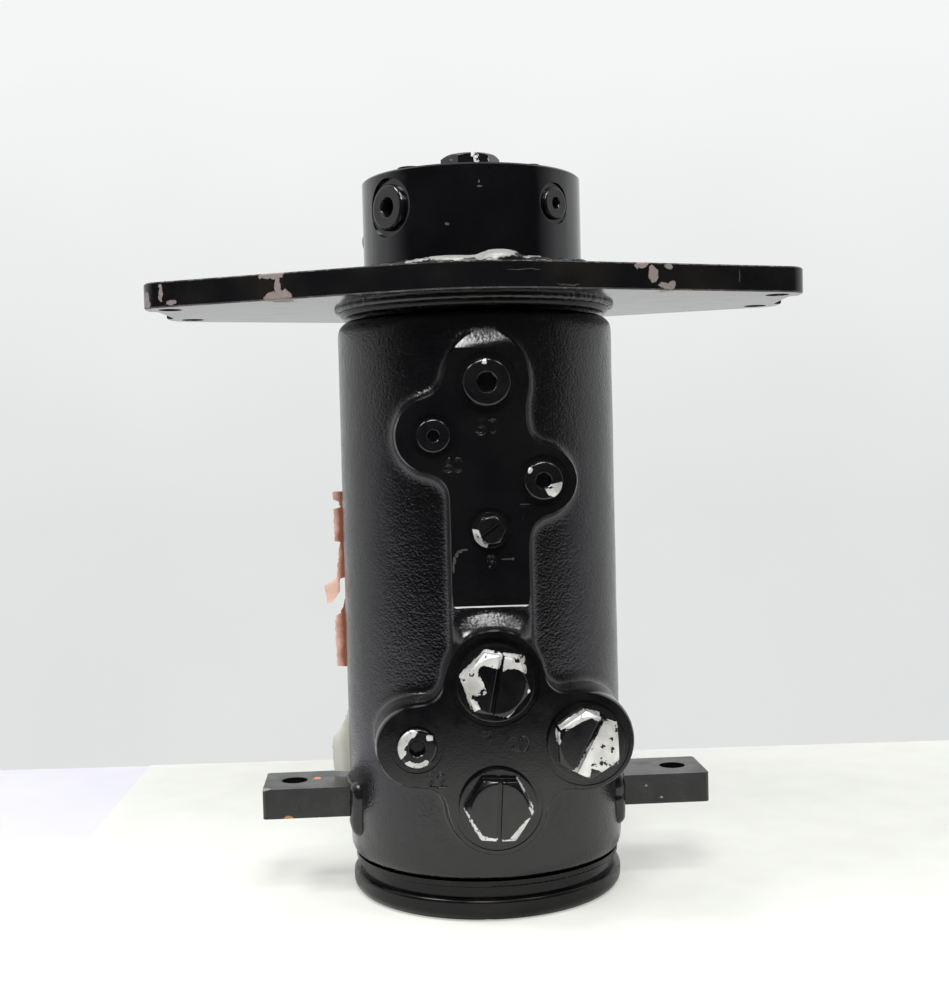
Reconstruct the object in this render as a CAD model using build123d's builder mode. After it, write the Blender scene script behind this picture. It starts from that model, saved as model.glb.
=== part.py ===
from build123d import *
import os
from math import cos, hypot, radians, sin

os.makedirs("parts", exist_ok=True)

# Hydraulic rotary union (swivel joint): a ported stem turns inside a ported housing.
# Millimetres, +Z along the swivel axis, origin on the underside of the bottom cover.

# Driving sizes: the stem's radius, the wall of the housing and the heights above the cover
stem_r = 60.0
running_clearance = 0.06
body_wall = 24.0
cover_h = 23.2
body_h = 325.3
head_h = 61.1
plate_h = 15.2

# Housing
body_r = stem_r + body_wall
bore_r = stem_r + running_clearance
body_bottom = cover_h
body_top = body_bottom + body_h
barrel_chamfer = 5.2
barrel_round_h = 7.8
barrel_round_d = 3.0
housing_turn = 4.0
upper_stand = 4.0
lower_stand = 14.0
upper_reach = body_r + upper_stand
lower_reach = body_r + lower_stand
rib_half_width = 23.0
step_near = 5.0
pad_round = 4.5
pad_valley = 13.0
spot_depth = 1.0
pad_root = 0.36 * body_r
tap_allowance = 2.0

# Bottom end
counterbore_wall = 6.0
counterbore_h = 16.8
counterbore_r = stem_r + counterbore_wall
counterbore_top = body_bottom + counterbore_h
cover_foot_r = body_r - 1.2
cover_foot_h = 13.0
cover_neck_r = body_r - 5.2
cover_lip_r = body_r - 2.8
cover_lip_h = 3.6
cover_pocket_r = stem_r - 3.0
cover_floor = 7.0
cover_round = 6.5
cover_foot_round = 2.4
cover_lip_round = 1.2
face_seal_r = counterbore_r + 1.0
face_seal_w = 3.0
face_seal_h = 2.0
cover_bolt_count = 8
cover_bolt_r = 3.0
cover_bolt_depth = 16.0
cover_head_r = 5.0
cover_head_h = 6.0
cover_head_sunk = 1.0
cover_bolt_reach = (face_seal_r + face_seal_w + cover_neck_r) / 2

# Stem
hub_step = 6.7
hub_gap = 1.2
hub_r = stem_r + hub_step
hub_bottom = body_top + hub_gap
plate_low = body_top + 7.5
plate_top = plate_low + plate_h
hub_top = plate_top + head_h
annulus_depth = 4.0
stem_chamfer = 1.0
washer_h = 2.0
thrust_gap = 0.1
stem_bottom = counterbore_top - washer_h
thrust_r = counterbore_r - 0.6
thrust_h = 11.0
thrust_bolt_reach = 2 * stem_r / 3
thrust_bolt_count = 4
thrust_bolt_r = 6.0
thrust_bolt_depth = 24.0
thrust_head_r = 9.0
thrust_head_h = 12.0
thrust_recess = 8.0

# Mounting plate, with a lobe round each bolt hole and a notch in each end
plate_waist_r = hub_r + 44.3
plate_lobe_r = 15.0
plate_hole_x = 180.0
plate_hole_y = 34.0
plate_hole_r = 7.0
plate_chamfer = 0.8
notch_half_width = 20.0
notch_depth = 5.5
collar_r = body_r - 1.3
collar_round = 3.6
plate_weld = 8.0
collar_weld = 2.6

# Torque bars
bar_width = 45.0
bar_h = 18.0
bar_top = body_bottom + 43.6
bar_low = bar_top - bar_h
bar_end = body_r + 52.4
bar_hole_x = body_r + 34.2
bar_hole_r = 8.0
bar_chamfer = 1.5
bar_weld = 5.0
bar_weld_root = 4.0

# Seals and wear rings in the bore
seal_w = 6.4
seal_land = 4.6
slipper_h = 2.8
energiser_h = 3.2
energiser_w = 4.8
wear_h = 2.4
wear_w = 8.6
wiper_h = 7.0
wiper_r = stem_r + 7.0
wiper_low = body_top - wiper_h
running_gap = 0.03
seat_gap = 0.05

# Screw plugs: thread radius, collar radius and height, key size, key height (a hex head with a
# slot) or 0 (a hex socket), depth of shank, spotface radius, drilling radius
plug_sizes = {
    "small": (6.58, 10.0, 2.6, 14.7, 6.0, 10.0, 12.5, 3.0),
    "quarter": (6.58, 9.5, 4.0, 6.0, 0.0, 11.0, 12.2, 4.0),
    "three_eighths": (8.33, 11.0, 4.5, 8.0, 0.0, 12.0, 14.6, 5.0),
    "half": (10.48, 13.6, 4.8, 10.0, 0.0, 13.0, 17.4, 7.0),
    "three_quarter": (13.22, 18.0, 4.0, 30.5, 7.0, 15.0, 20.5, 10.0),
    "one": (16.63, 21.8, 4.0, 33.0, 9.0, 17.0, 25.0, 11.0),
}
plug_seal_w = 2.4
plug_seal_h = 1.6
collar_edge = 0.8
shank_edge = 1.2
slot_depth = 0.38

# Port heights: the upper pad hangs from the top of the housing, the lower one stands on its bottom
height_a = body_top - 42.1
height_b = body_top - 71.3
height_c = body_top - 97.7
height_d = body_top - 124.5
height_e = body_bottom + 116.8
height_f = body_bottom + 82.0
height_g = body_bottom + 47.4

# Housing ports: plug size, distance across, height, face reach, turn of the slot or socket, lobe
housing_ports = {
    "a": ("half", 0.0, height_a, upper_reach, 10.0, 25.0),
    "b": ("quarter", -30.5, height_b, upper_reach, 0.0, 22.4),
    "c": ("three_eighths", 30.5, height_c, upper_reach, 20.0, 20.4),
    "d": ("small", 0.0, height_d, upper_reach, 35.0, 0.0),
    "e": ("one", 0.0, height_e, lower_reach, 78.5, 28.6),
    "f": ("one", 50.0, height_f, lower_reach, 62.4, 28.2),
    "g": ("one", 0.0, height_g, lower_reach, 86.6, 28.6),
    "h": ("three_eighths", -44.0, height_f, lower_reach, 15.0, 23.6),
}
step_height = height_e + housing_ports["e"][5]

# Lines through the stem: bearing from the front, reach of the axial passage, drilling radius,
# height of the annulus, half its width, plug size at the head, bearing and height of the head port
upper_port = plate_top + 0.655 * head_h
middle_port = plate_top + 0.5 * head_h
lines = {
    "a": (-50.0, stem_r - 14, 7.0, height_a, 8.0, "half", -47.0, upper_port),
    "b": (50.0, stem_r - 13, 4.0, height_b, 5.5, "quarter", 47.0, upper_port),
    "c": (112.0, stem_r - 14, 5.0, height_c, 6.5, "three_eighths", 116.0, middle_port),
    "d": (-110.0, stem_r - 12, 3.0, height_d, 5.0, "small", -116.0, middle_port),
    "e": (-148.0, stem_r - 18, 11.0, height_e, 12.0, "one", -152.0, middle_port),
    "g": (148.0, stem_r - 18, 11.0, height_g, 12.0, "one", 152.0, middle_port),
}
top_line_y = -stem_r / 2
top_line_r = 10.0
top_line_z = height_f
top_line_half = 12.0
passage_plug_proud = 4.2
passage_plug_step = 2.0
passage_plug_depth = 10.0

# one seal between neighbouring grooves, or a pair and a wear ring where they are far apart
grooves = sorted([(line[3] - line[4], line[3] + line[4]) for line in lines.values()]
                 + [(top_line_z - top_line_half, top_line_z + top_line_half)])
seal_heights = [grooves[0][0] - seal_land, grooves[-1][1] + seal_land]
wear_bands = [counterbore_top + 1.6, body_top - wiper_h - wear_w - 4.5]
for (groove_low, groove_high), (next_low, next_high) in zip(grooves, grooves[1:]):
    middle = (groove_high + next_low) / 2
    if next_low - groove_high < 4 * seal_w:
        seal_heights.append(middle)
    else:
        seal_heights += [groove_high + seal_land, next_low - seal_land]
        wear_bands.append(middle - wear_w / 2)

low = (Align.CENTER, Align.CENTER, Align.MIN)
front = Vector(sin(radians(housing_turn)), -cos(radians(housing_turn)), 0)
across = Vector(cos(radians(housing_turn)), sin(radians(housing_turn)), 0)


def pad_plane(reach, x=0, z=0):
    # a plane facing out of the pads, its x across the housing and its y up
    return Plane(origin=front * reach + across * x + Vector(0, 0, z), x_dir=across, z_dir=front)


def radial_plane(bearing, reach, z):
    # a plane facing away from the axis, its bearing measured from the front towards +X
    out = Vector(sin(radians(bearing)), -cos(radians(bearing)), 0)
    side = Vector(cos(radians(bearing)), sin(radians(bearing)), 0)
    return Plane(origin=out * reach + Vector(0, 0, z), x_dir=side, z_dir=out)


def disc(seat, radius, bottom, top, mode=Mode.ADD):
    with Locations(seat.offset(bottom)):
        Cylinder(radius, top - bottom, align=low, mode=mode)


def ring(seat, inner, outer, bottom, top, mode=Mode.ADD):
    with BuildSketch(seat.offset(bottom)) as section:
        Circle(outer)
        Circle(inner, mode=Mode.SUBTRACT)
    extrude(section.sketch, amount=top - bottom, mode=mode)


def hexagon(seat, flats, bottom, top, turn=0, mode=Mode.ADD):
    with BuildSketch(seat.offset(bottom)) as section:
        RegularPolygon(flats / 2, 6, major_radius=False, rotation=turn)
    extrude(section.sketch, amount=top - bottom, mode=mode)


def hex_head(seat, flats, height, turn):
    # a hexagon whose outer corners are turned down at thirty degrees
    face_r = 0.475 * flats
    with BuildPart(mode=Mode.PRIVATE) as head:
        hexagon(seat, flats, 0, height, turn)
        with Locations(seat):
            Cone(face_r + 1.732 * height, face_r, height, align=low, mode=Mode.INTERSECT)
    add(head.part)


def screw_plug(seat, size, turn):
    # shank, collar and key of one plug, seated on its spotface
    thread_r, collar_r, collar_h, key, key_h, depth, spot_r, drill_r = plug_sizes[size]
    disc(seat, thread_r, shank_edge - depth, 0)
    with Locations(seat.offset(-depth)):
        Cone(thread_r - shank_edge, thread_r, shank_edge, align=low)
    disc(seat, collar_r, 0, collar_h - collar_edge)
    with Locations(seat.offset(collar_h - collar_edge)):
        Cone(collar_r, collar_r - collar_edge, collar_edge, align=low)
    ring(seat, thread_r, thread_r + plug_seal_w, 0, plug_seal_h, Mode.SUBTRACT)
    if key_h:
        hex_head(seat.offset(collar_h), key, key_h, turn + 30)
        with BuildSketch(seat.offset(collar_h + key_h)) as slot:
            Rectangle(2.4 * key, 0.09 * key, rotation=turn)
        extrude(slot.sketch, amount=-slot_depth * key_h, mode=Mode.SUBTRACT)
    else:
        hexagon(seat, key, collar_h - 0.75 * key, collar_h, turn, Mode.SUBTRACT)


def plug_seal(seat, size):
    thread_r = plug_sizes[size][0]
    ring(seat, thread_r, thread_r + plug_seal_w, 0, plug_seal_h)


def port_pocket(seat, size, mouth):
    # spotface and tapped pocket of one port
    thread_r, collar_r, collar_h, key, key_h, depth, spot_r, drill_r = plug_sizes[size]
    disc(seat, spot_r, 0, mouth, Mode.SUBTRACT)
    disc(seat, thread_r + seat_gap, -depth - tap_allowance, 0, Mode.SUBTRACT)


def port_seat(name):
    size, x, z, reach = housing_ports[name][:4]
    return pad_plane(reach - spot_depth, x, z)


def save(piece, name):
    piece.part.label = name
    export_step(piece.part, "parts/" + name + ".step")


# Cast housing: barrel, two stepped port pads, bore with its grooves, ports and drillings
with BuildPart() as body_casting:
    with BuildSketch(Plane.XZ) as barrel:
        with BuildLine():
            Polyline((0, body_top), (body_r - barrel_chamfer, body_top), (body_r, body_top - barrel_chamfer),
                     (body_r, body_bottom + barrel_round_h))
            TangentArc((body_r, body_bottom + barrel_round_h), (body_r - barrel_round_d, body_bottom), tangent=(0, -1))
            Polyline((body_r - barrel_round_d, body_bottom), (0, body_bottom), (0, body_top))
        make_face()
    revolve(axis=Axis.Z)
    with BuildSketch(pad_plane(upper_reach)) as upper_pad:
        for name in "abc":
            with Locations(housing_ports[name][1:3]):
                Circle(housing_ports[name][5])
        with Locations((0, (height_a + height_e) / 2)):
            Rectangle(2 * rib_half_width, height_a - height_e)
        offset(amount=pad_valley)
        offset(amount=-pad_valley)
    extrude(amount=pad_root - upper_reach)
    with BuildSketch(pad_plane(lower_reach)) as lower_pad:
        for name in "efgh":
            with Locations(housing_ports[name][1:3]):
                Circle(housing_ports[name][5])
        web_left, web_right = housing_ports["h"][1], housing_ports["f"][1]
        with Locations(((web_left + web_right) / 2, housing_ports["f"][2])):
            Rectangle(web_right - web_left - 12.0, 34.0)
        offset(amount=pad_valley)
        offset(amount=-pad_valley)
    extrude(amount=pad_root - lower_reach)
    # rounded cast edges of the pads, but not the foot of the step between them
    faces = body_casting.faces().filter_by(GeomType.PLANE).filter_by(lambda f: f.normal_at().dot(front) > 0.99)
    step_foot = front * upper_reach + Vector(0, 0, step_height)
    edges = faces.edges().filter_by(lambda e: (e.center() - step_foot).length > step_near)
    fillet(edges, radius=pad_round)
    # bore, lower counterbore and wiper seat
    disc(Plane.XY, bore_r, body_bottom, body_top, Mode.SUBTRACT)
    disc(Plane.XY, counterbore_r, body_bottom, counterbore_top, Mode.SUBTRACT)
    disc(Plane.XY, wiper_r, wiper_low, body_top, Mode.SUBTRACT)
    for height in seal_heights:
        groove = bore_r + slipper_h + energiser_h
        disc(Plane.XY, groove, height - seal_w / 2, height + seal_w / 2, Mode.SUBTRACT)
    for bottom in wear_bands:
        disc(Plane.XY, bore_r + wear_h, bottom, bottom + wear_w, Mode.SUBTRACT)
    for name, port in housing_ports.items():
        size = port[0]
        seat = port_seat(name)
        port_pocket(seat, size, spot_depth + 1)
        floor = seat.offset(-plug_sizes[size][5]).origin
        inward = Vector(-floor.X, -floor.Y, 0)
        disc(Plane(origin=floor, z_dir=inward), plug_sizes[size][7], 0, inward.length - bore_r + 6, Mode.SUBTRACT)
    with Locations(Plane.XY.offset(body_bottom)):
        with PolarLocations(cover_bolt_reach, cover_bolt_count):
            Cylinder(cover_bolt_r + seat_gap, cover_bolt_depth, align=low, mode=Mode.SUBTRACT)

save(body_casting, "body_casting")

# Torque bars and their welds, one on each side
for side_name, side_turn in (("left", 180.0), ("right", 0.0)):
    bar_plane = Plane.XY.rotated((0, 0, housing_turn + side_turn))
    with BuildPart() as torque_bar:
        with BuildSketch(bar_plane.offset(bar_low)) as bar_outline:
            with Locations((bar_end / 2, 0)):
                Rectangle(bar_end, bar_width)
        extrude(amount=bar_h)
        disc(Plane.XY, body_r, bar_low, bar_top, Mode.SUBTRACT)
        chamfer(torque_bar.edges().filter_by(Axis.Z).sort_by(Axis(bar_plane.origin, bar_plane.x_dir))[-2:], bar_chamfer)
        with Locations(bar_plane.offset(bar_low)):
            with Locations((bar_hole_x, 0)):
                Cylinder(bar_hole_r, bar_h, align=low, mode=Mode.SUBTRACT)
    save(torque_bar, "torque_bar_" + side_name)

with BuildPart() as bar_welds:
    for side_turn in (0.0, 180.0):
        bar_plane = Plane.XY.rotated((0, 0, housing_turn + side_turn))
        out = bar_plane.x_dir
        toe = Plane(origin=out * (body_r - bar_weld_root) + Vector(0, 0, bar_top - bar_h / 2), x_dir=bar_plane.y_dir, z_dir=out)
        with BuildSketch(toe) as toe_outline:
            Rectangle(bar_width + 2 * (bar_weld + bar_weld_root), bar_h + 2 * (bar_weld + bar_weld_root))
        extrude(amount=bar_weld + bar_weld_root, taper=45)
    disc(Plane.XY, body_r, bar_low - bar_h, bar_top + bar_h, Mode.SUBTRACT)
    for side_turn in (0.0, 180.0):
        bar_plane = Plane.XY.rotated((0, 0, housing_turn + side_turn))
        with BuildSketch(bar_plane.offset(bar_low)) as bar_outline:
            with Locations((bar_end / 2, 0)):
                Rectangle(bar_end, bar_width)
        extrude(amount=bar_h, mode=Mode.SUBTRACT)
save(bar_welds, "bar_welds")

# Bottom cover: foot flange, neck, lip, pocket for the thrust plate, face seal groove
with BuildPart() as bottom_cover:
    disc(Plane.XY, cover_foot_r, 0, cover_foot_h)
    disc(Plane.XY, cover_neck_r, cover_foot_h, body_bottom - cover_lip_h)
    disc(Plane.XY, cover_lip_r, body_bottom - cover_lip_h, body_bottom)
    rims = bottom_cover.edges().filter_by(GeomType.CIRCLE)
    fillet(rims.sort_by(Axis.Z)[0], radius=cover_round)
    fillet(bottom_cover.edges().filter_by(lambda e: abs(e.center().Z - cover_foot_h) < 0.01).sort_by(SortBy.RADIUS)[-1],
           radius=cover_foot_round)
    fillet(bottom_cover.edges().filter_by(lambda e: abs(e.center().Z - body_bottom + cover_lip_h) < 0.01)
           .sort_by(SortBy.RADIUS)[-1], radius=cover_lip_round)
    disc(Plane.XY, cover_pocket_r, cover_floor, body_bottom, Mode.SUBTRACT)
    ring(Plane.XY, face_seal_r, face_seal_r + face_seal_w, body_bottom - face_seal_h, body_bottom, Mode.SUBTRACT)
    with Locations(Plane.XY):
        with PolarLocations(cover_bolt_reach, cover_bolt_count):
            Cylinder(cover_bolt_r + 0.4, body_bottom, align=low, mode=Mode.SUBTRACT)
            Cylinder(cover_head_r + 0.4, cover_head_h + cover_head_sunk, align=low, mode=Mode.SUBTRACT)
save(bottom_cover, "bottom_cover")

with BuildPart() as cover_seal:
    ring(Plane.XY, face_seal_r, face_seal_r + face_seal_w, body_bottom - face_seal_h, body_bottom)
save(cover_seal, "cover_seal")

with BuildPart() as cover_bolts:
    with PolarLocations(cover_bolt_reach, cover_bolt_count):
        with Locations((0, 0, cover_head_sunk)):
            Cylinder(cover_head_r, cover_head_h, align=low)
            Cylinder(cover_bolt_r, body_bottom + cover_bolt_depth - 3.0, align=low)
            Cylinder(cover_head_r / 2, cover_head_h / 2, align=low, mode=Mode.SUBTRACT)
save(cover_bolts, "cover_bolts")

# Bore seals: slipper rings on square-section energisers, wear bands, top wiper
with BuildPart() as slipper_seals:
    for height in seal_heights:
        ring(Plane.XY, stem_r + running_gap, bore_r + slipper_h, height - seal_w / 2, height + seal_w / 2)
save(slipper_seals, "slipper_seals")

with BuildPart() as seal_energisers:
    for height in seal_heights:
        inner = bore_r + slipper_h
        ring(Plane.XY, inner, inner + energiser_h, height - energiser_w / 2, height + energiser_w / 2)
save(seal_energisers, "seal_energisers")

with BuildPart() as wear_rings:
    for bottom in wear_bands:
        ring(Plane.XY, stem_r + running_gap, bore_r + wear_h, bottom, bottom + wear_w)
save(wear_rings, "wear_rings")

with BuildPart() as wiper_seal:
    with BuildSketch(Plane.XZ) as wiper_section:
        with BuildLine():
            Polyline((stem_r + 1.4, wiper_low), (wiper_r, wiper_low), (wiper_r, body_top - 1.4),
                     (stem_r + 3.6, body_top - 1.4), (stem_r + 0.05, body_top - 0.2),
                     (stem_r + 0.05, body_top - 2.2), (stem_r + 1.4, body_top - 3.4), close=True)
        make_face()
    revolve(axis=Axis.Z)
save(wiper_seal, "wiper_seal")

# Housing plugs, one node for each size that repeats
plug_nodes = {
    "housing_plug_half": "a",
    "housing_plug_quarter": "b",
    "housing_plugs_three_eighths": "ch",
    "housing_plug_small": "d",
    "housing_plugs_one": "efg",
}
for node, names in plug_nodes.items():
    with BuildPart() as housing_plug:
        for name in names:
            screw_plug(port_seat(name), housing_ports[name][0], housing_ports[name][4])
    save(housing_plug, node)

with BuildPart() as housing_plug_seals:
    for name in housing_ports:
        plug_seal(port_seat(name), housing_ports[name][0])
save(housing_plug_seals, "housing_plug_seals")

# Stem: shaft with a ring groove for each line, an axial passage up to the head, a port at the head
def head_seat(size, bearing, height):
    # spotface plane on the side of the hub, deep enough for a full circle
    spot_r = plug_sizes[size][6]
    return radial_plane(bearing, (hub_r ** 2 - spot_r ** 2) ** 0.5 - 0.2, height)


top_seat = Plane(origin=(0, top_line_y, hub_top - spot_depth))
with BuildPart() as stem:
    disc(Plane.XY, stem_r, stem_bottom, hub_bottom)
    disc(Plane.XY, hub_r, hub_bottom, hub_top)
    chamfer(stem.edges().sort_by(Axis.Z)[-1], stem_chamfer)
    chamfer(stem.edges().sort_by(Axis.Z)[0], stem_chamfer)
    for name, (bearing, reach, drill_r, height, half, size, port_bearing, port_height) in lines.items():
        ring(Plane.XY, stem_r - annulus_depth, stem_r + 1, height - half, height + half, Mode.SUBTRACT)
        foot = radial_plane(bearing, reach, 0).origin
        passage = Plane(origin=(foot.X, foot.Y, 0))
        disc(passage, drill_r, height - half, hub_top, Mode.SUBTRACT)
        disc(passage, drill_r + passage_plug_step, hub_top - passage_plug_depth, hub_top, Mode.SUBTRACT)
        disc(radial_plane(bearing, 0, height), min(drill_r, half), reach, stem_r, Mode.SUBTRACT)
        seat = head_seat(size, port_bearing, port_height)
        port_pocket(seat, size, 12.0)
        floor = seat.offset(-plug_sizes[size][5]).origin
        inward = Vector(foot.X - floor.X, foot.Y - floor.Y, 0)
        disc(Plane(origin=floor, z_dir=inward), plug_sizes[size][7], 0, inward.length, Mode.SUBTRACT)
    ring(Plane.XY, stem_r - annulus_depth, stem_r + 1, top_line_z - top_line_half, top_line_z + top_line_half,
         Mode.SUBTRACT)
    disc(Plane(origin=(0, top_line_y, 0)), top_line_r, top_line_z - top_line_r, hub_top, Mode.SUBTRACT)
    disc(radial_plane(0, 0, top_line_z), top_line_r, -top_line_y, stem_r, Mode.SUBTRACT)
    port_pocket(top_seat, "three_quarter", spot_depth + 1)
    with PolarLocations(thrust_bolt_reach, thrust_bolt_count):
        with Locations((0, 0, stem_bottom)):
            Cylinder(thrust_bolt_r + seat_gap, thrust_bolt_depth, align=low, mode=Mode.SUBTRACT)
save(stem, "stem")

# Head plugs, passage plugs and seals
head_nodes = {
    "head_plug_half": "a",
    "head_plug_quarter": "b",
    "head_plug_three_eighths": "c",
    "head_plug_small": "d",
    "head_plugs_one": "eg",
}
for node, names in head_nodes.items():
    with BuildPart() as head_plug:
        for name in names:
            size, port_bearing, port_height = lines[name][5:]
            screw_plug(head_seat(size, port_bearing, port_height), size, 70.0)
    save(head_plug, node)

with BuildPart() as head_plug_top:
    screw_plug(top_seat, "three_quarter", 97.0)
save(head_plug_top, "head_plug_top")

with BuildPart() as head_plug_seals:
    for name in lines:
        size, port_bearing, port_height = lines[name][5:]
        plug_seal(head_seat(size, port_bearing, port_height), size)
    plug_seal(top_seat, "three_quarter")
save(head_plug_seals, "head_plug_seals")

with BuildPart() as passage_plugs:
    for bearing, reach, drill_r in [line[:3] for line in lines.values()]:
        foot = radial_plane(bearing, reach, 0).origin
        top = Plane(origin=(foot.X, foot.Y, hub_top))
        disc(top, drill_r + passage_plug_step, -passage_plug_depth, passage_plug_proud - 1.2)
        disc(top, drill_r + 1, passage_plug_proud - 1.2, passage_plug_proud)
        hexagon(top, drill_r + 1, passage_plug_proud - 4, passage_plug_proud, mode=Mode.SUBTRACT)
save(passage_plugs, "passage_plugs")

# Mounting plate: waist about the hub, tangent edges to a lobe round each bolt hole, notched ends
with BuildPart() as mounting_plate:
    with BuildSketch(Plane.XY.offset(plate_low)) as plate_outline:
        Circle(plate_waist_r)
        with GridLocations(2 * plate_hole_x, 2 * plate_hole_y, 2, 2):
            Circle(plate_lobe_r)
        make_hull()
        with Locations((-plate_hole_x - plate_lobe_r, 0), (plate_hole_x + plate_lobe_r, 0)):
            SlotOverall(2 * (notch_half_width + notch_depth), 2 * notch_depth, rotation=90, mode=Mode.SUBTRACT)
        Circle(hub_r, mode=Mode.SUBTRACT)
        with GridLocations(2 * plate_hole_x, 2 * plate_hole_y, 2, 2):
            Circle(plate_hole_r, mode=Mode.SUBTRACT)
    extrude(amount=plate_h)
    chamfer(mounting_plate.faces().filter_by(Axis.Z).edges().filter_by(lambda e: e.length > 60), plate_chamfer)
save(mounting_plate, "mounting_plate")

# Collar ring under the plate, and the welds that hold both to the hub
with BuildPart() as collar_ring:
    ring(Plane.XY, hub_r, collar_r, hub_bottom, plate_low)
    fillet(collar_ring.edges().filter_by(GeomType.CIRCLE).group_by(Axis.Z)[0].sort_by(SortBy.RADIUS)[-1], collar_round)
save(collar_ring, "collar_ring")

with BuildPart() as plate_welds:
    with BuildSketch(Plane.XZ) as beads:
        with BuildLine():
            Polyline((hub_r, plate_top), (hub_r + plate_weld, plate_top), (hub_r, plate_top + plate_weld), close=True)
        make_face()
        with BuildLine():
            Polyline((collar_r, plate_low), (collar_r + collar_weld, plate_low), (collar_r, plate_low - collar_weld),
                     close=True)
        make_face()
    revolve(axis=Axis.Z)
save(plate_welds, "plate_welds")

# Thrust plate under the stem, its washer and bolts
thrust_low = stem_bottom - thrust_h
with BuildPart() as thrust_plate:
    disc(Plane.XY, thrust_r, thrust_low, stem_bottom)
    chamfer(thrust_plate.edges().sort_by(Axis.Z)[0], stem_chamfer)
    with PolarLocations(thrust_bolt_reach, thrust_bolt_count):
        with Locations((0, 0, thrust_low)):
            Cylinder(thrust_bolt_r + 0.6, thrust_h, align=low, mode=Mode.SUBTRACT)
            Cylinder(thrust_head_r + 0.4, thrust_recess, align=low, mode=Mode.SUBTRACT)
save(thrust_plate, "thrust_plate")

with BuildPart() as thrust_washer:
    ring(Plane.XY, stem_r + 0.2, thrust_r - 0.2, stem_bottom, counterbore_top - thrust_gap)
save(thrust_washer, "thrust_washer")

with BuildPart() as thrust_bolts:
    seat_z = thrust_low + thrust_recess
    with PolarLocations(thrust_bolt_reach, thrust_bolt_count):
        with Locations((0, 0, seat_z - thrust_head_h)):
            Cylinder(thrust_head_r, thrust_head_h, align=low)
            Cylinder(thrust_bolt_r, thrust_head_h + stem_bottom - seat_z + thrust_bolt_depth - 2.0, align=low)
            Cylinder(thrust_head_r / 2, thrust_head_h / 2, align=low, mode=Mode.SUBTRACT)
save(thrust_bolts, "thrust_bolts")
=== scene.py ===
import bpy
from math import cos, hypot, pi, radians, sin, tan
from mathutils import Matrix, Vector, noise


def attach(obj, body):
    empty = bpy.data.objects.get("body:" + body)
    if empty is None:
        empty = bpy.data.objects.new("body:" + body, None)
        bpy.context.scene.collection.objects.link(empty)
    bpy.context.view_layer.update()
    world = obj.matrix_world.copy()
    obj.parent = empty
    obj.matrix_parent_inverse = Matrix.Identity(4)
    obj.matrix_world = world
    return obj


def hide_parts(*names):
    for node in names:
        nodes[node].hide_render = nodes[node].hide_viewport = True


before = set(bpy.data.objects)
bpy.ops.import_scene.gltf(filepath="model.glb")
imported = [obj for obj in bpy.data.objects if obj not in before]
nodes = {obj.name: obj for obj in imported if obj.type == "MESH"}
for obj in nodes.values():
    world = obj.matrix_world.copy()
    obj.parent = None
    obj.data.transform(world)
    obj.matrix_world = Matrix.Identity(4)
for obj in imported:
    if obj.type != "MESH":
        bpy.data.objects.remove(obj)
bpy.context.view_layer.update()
mm = 0.001
up = Vector((0, 0, 1))
bpy.ops.object.select_all(action="DESELECT")
print("frame loaded", len(nodes))


def linear(hexText):
    # sRGB hex to the linear values that a shader wants
    parts = [int(hexText[i:i + 2], 16) / 255 for i in (1, 3, 5)]
    return [c / 12.92 if c <= 0.04045 else ((c + 0.055) / 1.055) ** 2.4 for c in parts] + [1.0]


# the one setting that each kind of node takes here
settingOf = {"Math": "operation", "VectorMath": "operation", "Mix": "data_type", "TexVoronoi": "feature",
             "TexNoise": "noise_dimensions", "Attribute": "attribute_name"}


def addNode(tree, kind, setting=None, **sockets):
    # one node, its setting, then its inputs: a value is set, a socket or a node's result is linked
    node = tree.nodes.new("ShaderNode" + kind)
    if setting:
        setattr(node, settingOf[kind], setting)
    for name, value in sockets.items():
        key = int(name[1:]) if name[0] == "i" and name[1:].isdigit() else name.replace("_", " ")
        if isinstance(value, bpy.types.Node):
            value = next(output for output in value.outputs if output.enabled)
        if isinstance(value, bpy.types.NodeSocket):
            tree.links.new(value, node.inputs[key])
        else:
            node.inputs[key].default_value = value
    return node


def newMaterial(name):
    # an empty material and its Object coordinates in millimetres
    material = bpy.data.materials.new(name)
    material.use_nodes = True
    tree = material.node_tree
    tree.nodes.clear()
    coords = addNode(tree, "TexCoord").outputs["Object"]
    point = addNode(tree, "VectorMath", "SCALE", i0=coords, Scale=1000.0)
    return material, tree, point


def paint(material, *names):
    # CAD nodes by name, or new pieces
    for name in names:
        mesh = nodes[name].data if isinstance(name, str) else name.data
        mesh.materials.clear()
        mesh.materials.append(material)


def deselect():
    bpy.ops.object.select_all(action="DESELECT")


def choose(piece):
    deselect()
    bpy.context.view_layer.objects.active = piece
    piece.select_set(True)


def applyModifier(piece, kind, **settings):
    choose(piece)
    modifier = piece.modifiers.new(kind, kind)
    for name, value in settings.items():
        setattr(modifier, name, value)
    bpy.ops.object.modifier_apply(modifier=modifier.name)


def pick(piece, kind, test):
    # leaves the piece in edit mode with the faces, edges or vertices that pass selected
    choose(piece)
    bpy.ops.object.mode_set(mode="EDIT")
    bpy.ops.mesh.select_mode(type=kind)
    bpy.ops.mesh.select_all(action="DESELECT")
    bpy.ops.object.mode_set(mode="OBJECT")
    for part in {"FACE": piece.data.polygons, "EDGE": piece.data.edges, "VERT": piece.data.vertices}[kind]:
        part.select = test(part)
    bpy.ops.object.mode_set(mode="EDIT")


def bakePlace(piece):
    # the place goes into the mesh, and the object stays at the origin
    choose(piece)
    bpy.ops.object.transform_apply(location=True, rotation=True, scale=True)


def joinAll(pieces):
    deselect()
    for piece in pieces:
        piece.select_set(True)
    bpy.context.view_layer.objects.active = pieces[0]
    bpy.ops.object.join()
    return pieces[0]


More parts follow.
